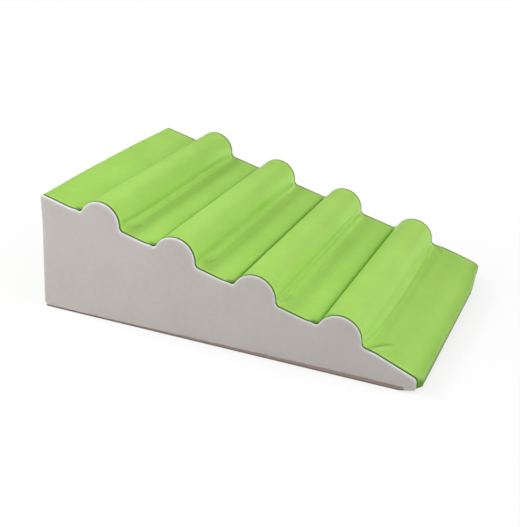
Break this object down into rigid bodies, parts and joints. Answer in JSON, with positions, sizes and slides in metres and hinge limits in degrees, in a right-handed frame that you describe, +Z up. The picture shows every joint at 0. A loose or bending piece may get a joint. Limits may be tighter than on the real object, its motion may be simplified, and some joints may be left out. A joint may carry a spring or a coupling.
{
  "type": "soft play ramp",
  "caption": "Foam climbing wedge with half-round rolls across its slope, under a sewn coated-cloth cover with a rear zip.",
  "frame": {"origin": "middle of the flat underside of the base, on the surface that the ramp stands on", "axes": "+X along the length from the high rear face to the low toe, +Y across to the right side, +Z up"},
  "size_m": [0.9048, 0.6, 0.296],
  "materials": {
    "foam": "matte",
    "green_cloth": "satin",
    "grey_cloth": "satin",
    "antislip_cloth": "matte",
    "zip_tape": "matte",
    "zip_plastic": "satin",
    "slider_metal": "satin"
  },
  "bodies": {
    "ramp": {"foam_wedge": "foam", "foam_roll_1": "foam", "foam_roll_2": "foam", "foam_roll_3": "foam", "foam_roll_4": "foam", "landing_panel": "green_cloth", "wave_panel_1": "green_cloth", "wave_panel_2": "green_cloth", "wave_panel_3": "green_cloth", "wave_panel_4": "green_cloth", "rear_panel": "green_cloth", "rear_hem_panel": "green_cloth", "zip_end_tab_left": "green_cloth", "zip_end_tab_right": "green_cloth", "side_panel_left": "grey_cloth", "side_panel_right": "grey_cloth", "base_panel": "antislip_cloth", "zip_tape_upper": "zip_tape", "zip_tape_lower": "zip_tape", "zip_chain_upper": "zip_plastic", "zip_chain_lower": "zip_plastic", "zip_bottom_stop": "zip_plastic", "zip_top_stop_upper": "zip_plastic", "zip_top_stop_lower": "zip_plastic"},
    "slider": {"zip_slider": "slider_metal", "zip_slider_back": "slider_metal"}
  },
  "joints": [
    {"name": "zip_slide", "type": "slide", "parent": "ramp", "child": "slider", "axis": [0, -1, 0], "range_m": [0, 0.462]}
  ]
}
